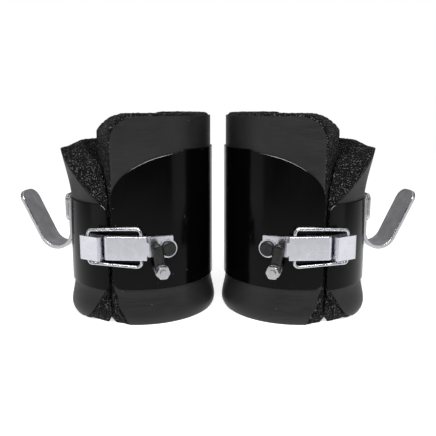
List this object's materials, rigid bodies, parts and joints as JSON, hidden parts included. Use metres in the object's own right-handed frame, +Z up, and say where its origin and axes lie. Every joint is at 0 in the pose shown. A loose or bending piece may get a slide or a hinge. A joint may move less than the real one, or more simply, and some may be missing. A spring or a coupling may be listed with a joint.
{
  "type": "gravity inversion boots",
  "caption": "Hinged ankle shells with padded liners, an open bar hook and an over-centre latch, for hanging upside down from a bar.",
  "frame": {"origin": "on the floor under the middle of the pair", "axes": "+X from the left boot to the right boot; +Y from the latch side to the hinge side; +Z up along the leg openings"},
  "size_m": [0.4146, 0.1715, 0.194],
  "materials": {
    "shell": "gloss",
    "foam": "matte",
    "skin": "satin",
    "chrome": "polished",
    "latch": "satin",
    "hinge": "satin",
    "fastener": "satin",
    "rubber": "matte"
  },
  "bodies": {
    "left_rear": {"left_rear_shell": "shell", "left_rear_liner_foam": "foam", "left_rear_liner_skin": "skin", "left_hinge_leaf_rear": "hinge", "left_hinge_pin": "fastener", "left_hinge_rivets_rear": "fastener", "left_latch_base": "latch", "left_latch_rivets": "fastener", "left_lever_pin": "fastener", "left_safety_stud": "fastener", "left_safety_spacer": "fastener", "left_safety_washer": "fastener", "left_safety_nut": "fastener", "left_safety_bumper": "rubber"},
    "left_front": {"left_front_shell": "shell", "left_front_liner_foam": "foam", "left_front_liner_skin": "skin", "left_hinge_leaf_front": "hinge", "left_hinge_rivets_front": "fastener", "left_hook": "chrome", "left_hook_clamp_plate": "chrome", "left_hook_bolts": "fastener", "left_hook_backing_plate": "hinge", "left_hook_nuts": "fastener", "left_catch_bracket": "latch", "left_catch_rivets": "fastener"},
    "left_bail": {"left_bail": "chrome"},
    "left_lever": {"left_lever": "latch"},
    "left_safety": {"left_safety_bar": "hinge", "left_safety_sleeve": "rubber"},
    "right_rear": {"right_rear_shell": "shell", "right_rear_liner_foam": "foam", "right_rear_liner_skin": "skin", "right_hinge_leaf_rear": "hinge", "right_hinge_pin": "fastener", "right_hinge_rivets_rear": "fastener", "right_latch_base": "latch", "right_latch_rivets": "fastener", "right_lever_pin": "fastener", "right_safety_stud": "fastener", "right_safety_spacer": "fastener", "right_safety_washer": "fastener", "right_safety_nut": "fastener", "right_safety_bumper": "rubber"},
    "right_front": {"right_front_shell": "shell", "right_front_liner_foam": "foam", "right_front_liner_skin": "skin", "right_hinge_leaf_front": "hinge", "right_hinge_rivets_front": "fastener", "right_hook": "chrome", "right_hook_clamp_plate": "chrome", "right_hook_bolts": "fastener", "right_hook_backing_plate": "hinge", "right_hook_nuts": "fastener", "right_catch_bracket": "latch", "right_catch_rivets": "fastener"},
    "right_bail": {"right_bail": "chrome"},
    "right_lever": {"right_lever": "latch"},
    "right_safety": {"right_safety_bar": "hinge", "right_safety_sleeve": "rubber"}
  },
  "joints": [
    {"name": "left_shell_hinge", "type": "hinge", "parent": "left_rear", "child": "left_front", "pos_m": [-0.06317, 0.08177, 0.075], "axis": [0, 0, -1], "range_deg": [0, 90]},
    {"name": "left_bail_swing", "type": "hinge", "parent": "left_front", "child": "left_bail", "pos_m": [-0.11757, -0.06096, 0.075], "axis": [0, 0, -1], "range_deg": [0, 60]},
    {"name": "left_lever_pivot", "type": "hinge", "parent": "left_rear", "child": "left_lever", "pos_m": [-0.09864, -0.06557, 0.075], "axis": [0, 0, -1], "range_deg": [0, 90]},
    {"name": "left_safety_swing", "type": "hinge", "parent": "left_rear", "child": "left_safety", "pos_m": [-0.05104, -0.07259, 0.056], "axis": [-0.309, 0.9511, 0], "range_deg": [0, 95]},
    {"name": "right_boot_lift", "type": "slide", "parent": "left_rear", "child": "right_rear", "axis": [0, 0, 1], "range_m": [0, 0.25]},
    {"name": "right_shell_hinge", "type": "hinge", "parent": "right_rear", "child": "right_front", "pos_m": [0.06317, 0.08177, 0.075], "axis": [0, 0, 1], "range_deg": [0, 90]},
    {"name": "right_bail_swing", "type": "hinge", "parent": "right_front", "child": "right_bail", "pos_m": [0.11757, -0.06096, 0.075], "axis": [0, 0, 1], "range_deg": [0, 60]},
    {"name": "right_lever_pivot", "type": "hinge", "parent": "right_rear", "child": "right_lever", "pos_m": [0.09864, -0.06557, 0.075], "axis": [0, 0, 1], "range_deg": [0, 90]},
    {"name": "right_safety_swing", "type": "hinge", "parent": "right_rear", "child": "right_safety", "pos_m": [0.05104, -0.07259, 0.056], "axis": [-0.309, -0.9511, 0], "range_deg": [0, 95]}
  ]
}
